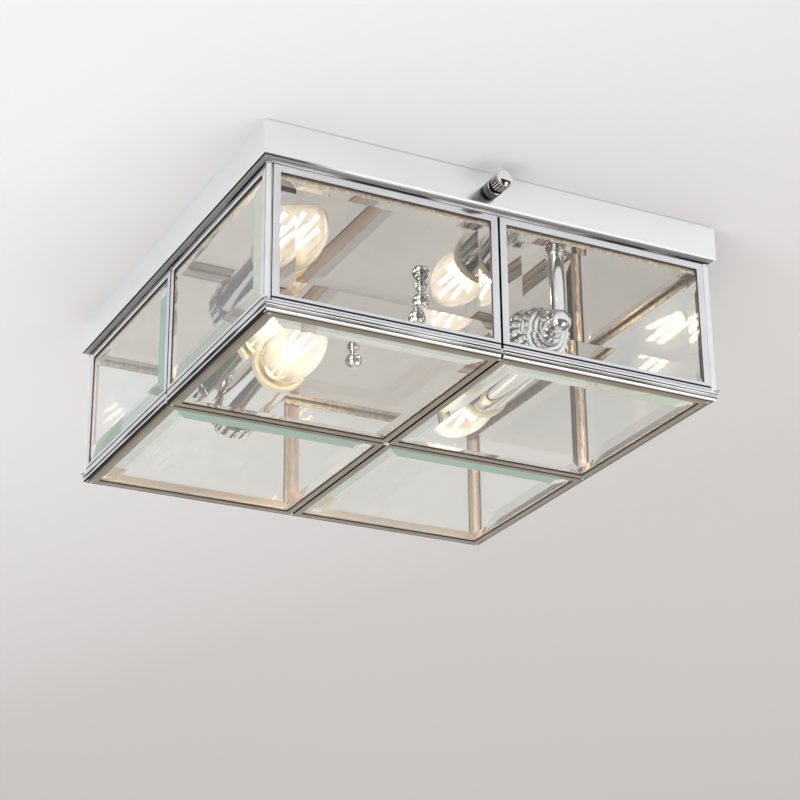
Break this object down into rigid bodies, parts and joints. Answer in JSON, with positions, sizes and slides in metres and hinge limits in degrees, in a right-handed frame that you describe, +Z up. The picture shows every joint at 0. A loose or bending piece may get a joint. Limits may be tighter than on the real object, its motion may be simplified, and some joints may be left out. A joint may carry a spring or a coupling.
{
  "type": "flush glass box ceiling light",
  "caption": "Shallow square flush ceiling light: a bevelled glass box in bright metal cames hangs from a plain band over a mirror pan with candle lamps.",
  "frame": {"origin": "centre of the ceiling face, midway between the strap's fixing slots", "axes": "+Z up into the ceiling, the lamp hangs towards -Z; -Y is the side with the hand screw seen in the picture; +X is to the right when looking along +Y"},
  "size_m": [0.3, 0.3422, 0.1154],
  "materials": {
    "pane_glass": "gloss",
    "came": "satin",
    "band": "polished",
    "rail": "polished",
    "solder": "rough",
    "plated_steel": "satin",
    "zinc_steel": "satin",
    "polished_chrome": "polished",
    "pan": "polished",
    "terminal_plastic": "matte",
    "brass": "satin",
    "wire_cover": "satin",
    "cream_plastic": "satin",
    "bulb_cap": "satin",
    "bulb_glass": "gloss",
    "filament": "satin"
  },
  "bodies": {
    "ceiling_side": {"ceiling_pan": "pan", "mounting_strap": "zinc_steel", "pan_studs": "plated_steel", "hex_nuts": "plated_steel", "stem_collars": "polished_chrome", "stem_right": "polished_chrome", "stem_ball_right": "polished_chrome", "fluted_cup_right": "polished_chrome", "holder_tube_right": "polished_chrome", "lamp_holder_right": "cream_plastic", "contacts_right": "brass", "stem_left": "polished_chrome", "stem_ball_left": "polished_chrome", "fluted_cup_left": "polished_chrome", "holder_tube_left": "polished_chrome", "lamp_holder_left": "cream_plastic", "contacts_left": "brass", "terminal_block": "terminal_plastic", "terminal_screws": "brass", "lamp_wires": "wire_cover"},
    "glass_shade": {"shade_band": "band", "top_rail": "rail", "foot_rail": "rail", "corner_posts": "came", "came_front_left": "came", "came_front_right": "came", "came_back_left": "came", "came_back_right": "came", "came_left_front": "came", "came_left_back": "came", "came_right_front": "came", "came_right_back": "came", "came_bottom_front_left": "came", "came_bottom_front_right": "came", "came_bottom_back_left": "came", "came_bottom_back_right": "came", "pane_front_left": "pane_glass", "pane_front_right": "pane_glass", "pane_back_left": "pane_glass", "pane_back_right": "pane_glass", "pane_left_front": "pane_glass", "pane_left_back": "pane_glass", "pane_right_front": "pane_glass", "pane_right_back": "pane_glass", "pane_bottom_front_left": "pane_glass", "pane_bottom_front_right": "pane_glass", "pane_bottom_back_left": "pane_glass", "pane_bottom_back_right": "pane_glass", "solder_seams": "solder", "band_bushes": "plated_steel"},
    "hand_screw_front": {"hand_screw_front": "polished_chrome"},
    "hand_screw_back": {"hand_screw_back": "polished_chrome"},
    "ball_nut_front": {"ball_nut_front": "polished_chrome"},
    "ball_nut_back": {"ball_nut_back": "polished_chrome"},
    "bulb_right": {"bulb_cap_right": "bulb_cap", "bulb_glass_right": "bulb_glass", "filaments_right": "filament"},
    "bulb_left": {"bulb_cap_left": "bulb_cap", "bulb_glass_left": "bulb_glass", "filaments_left": "filament"}
  },
  "joints": [
    {"name": "shade_lift_off", "type": "slide", "parent": "ceiling_side", "child": "glass_shade", "axis": [0, 0, -1], "range_m": [0, 0.15]},
    {"name": "hand_screw_front_turn", "type": "hinge", "parent": "glass_shade", "child": "hand_screw_front", "pos_m": [-0.008, -0.15, -0.013], "axis": [0, 1, 0], "continuous": true},
    {"name": "hand_screw_back_turn", "type": "hinge", "parent": "glass_shade", "child": "hand_screw_back", "pos_m": [0.008, 0.15, -0.013], "axis": [0, 1, 0], "continuous": true},
    {"name": "ball_nut_front_turn", "type": "hinge", "parent": "ceiling_side", "child": "ball_nut_front", "pos_m": [0, -0.047, -0.034], "axis": [0, 0, 1], "continuous": true},
    {"name": "ball_nut_back_turn", "type": "hinge", "parent": "ceiling_side", "child": "ball_nut_back", "pos_m": [0, 0.047, -0.034], "axis": [0, 0, 1], "continuous": true},
    {"name": "bulb_right_turn", "type": "hinge", "parent": "ceiling_side", "child": "bulb_right", "pos_m": [0.0505, -0.124, -0.0735], "axis": [0.0698, 0.9976, 0], "continuous": true},
    {"name": "bulb_left_turn", "type": "hinge", "parent": "ceiling_side", "child": "bulb_left", "pos_m": [-0.0575, 0.124, -0.06454], "axis": [0.0698, 0.9976, 0], "continuous": true}
  ]
}
